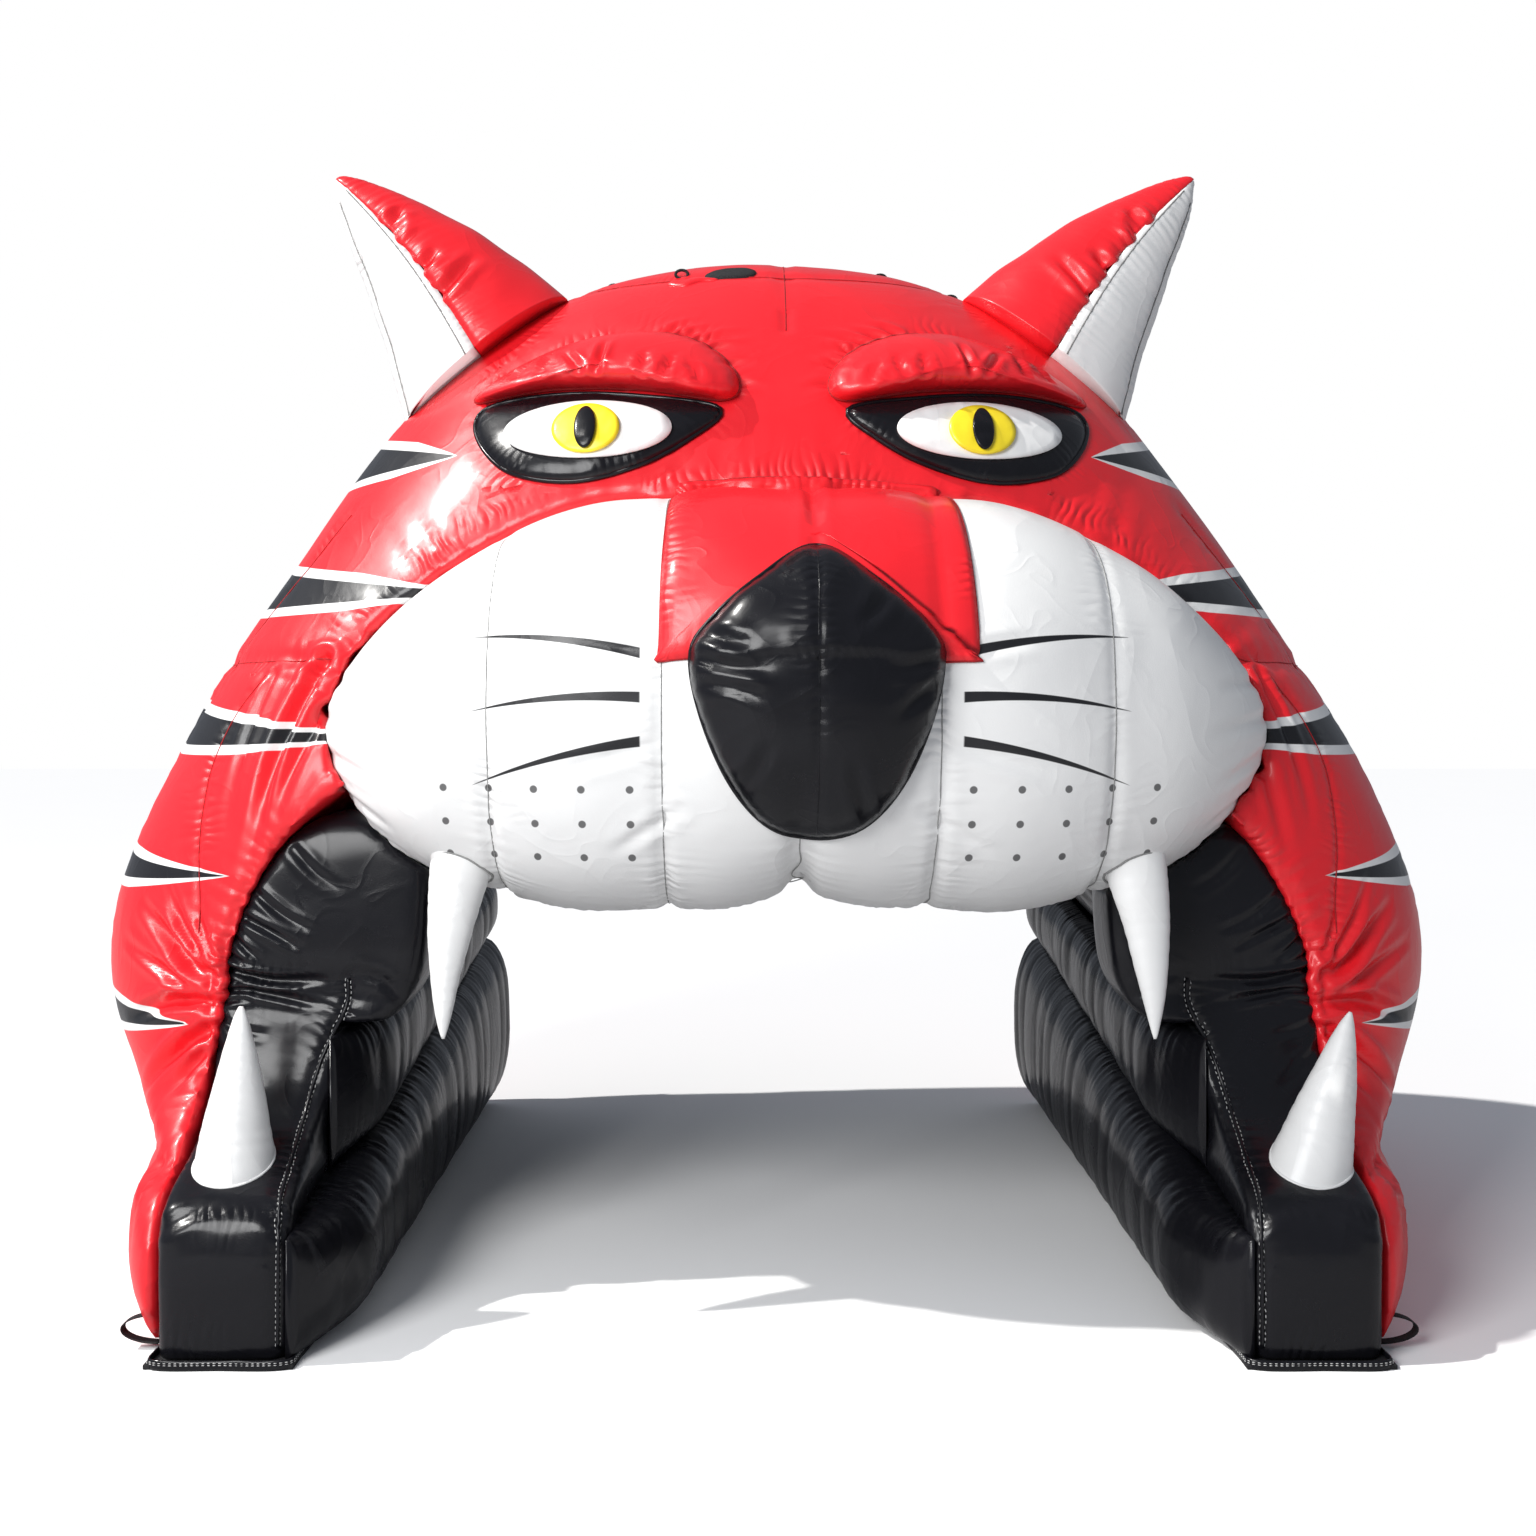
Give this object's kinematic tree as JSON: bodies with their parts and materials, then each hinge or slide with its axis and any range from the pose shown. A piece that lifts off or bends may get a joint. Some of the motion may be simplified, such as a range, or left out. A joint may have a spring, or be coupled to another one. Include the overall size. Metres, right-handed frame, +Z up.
{
  "type": "inflatable entry tunnel",
  "caption": "Inflatable walk-through tunnel shaped as a big cat's head, with a dome, ears, muzzle, fangs and padded feet, and ribbed air tubes along its passage.",
  "frame": {"origin": "middle of the footprint, on the ground", "axes": "+Z up; the head faces -Y and its passage runs along Y; +X to the right of someone facing the head"},
  "size_m": [6.5946, 4.5921, 5.4271],
  "materials": {
    "red_vinyl": "glossy vinyl-coated cloth",
    "black_vinyl": "glossy vinyl-coated cloth",
    "white_vinyl": "satin vinyl-coated cloth",
    "yellow_vinyl": "satin vinyl-coated cloth",
    "webbing": "woven webbing"
  },
  "bodies": {
    "root": {"anchor_tab_left": "webbing", "anchor_tab_right": "webbing", "base_strip_left": "webbing", "base_strip_right": "webbing", "brow_left": "red_vinyl", "brow_right": "red_vinyl", "crown_vent": "webbing", "ear_left_back": "red_vinyl", "ear_left_outer": "white_vinyl", "ear_right_back": "red_vinyl", "ear_right_outer": "white_vinyl", "eye_left": "black_vinyl", "eye_right": "black_vinyl", "eye_white_left": "white_vinyl", "eye_white_right": "white_vinyl", "fang_left": "white_vinyl", "fang_right": "white_vinyl", "head_shell": "red_vinyl", "iris_left": "yellow_vinyl", "iris_right": "yellow_vinyl", "jaw_left": "black_vinyl", "jaw_right": "black_vinyl", "muzzle": "white_vinyl", "nose": "black_vinyl", "nose_bridge": "red_vinyl", "pupil_left": "black_vinyl", "pupil_right": "black_vinyl", "throat_vault": "black_vinyl", "tooth_left": "white_vinyl", "tooth_right": "white_vinyl", "tube_left_lower": "black_vinyl", "tube_left_upper": "black_vinyl", "tube_right_lower": "black_vinyl", "tube_right_upper": "black_vinyl"}
  },
  "joints": []
}
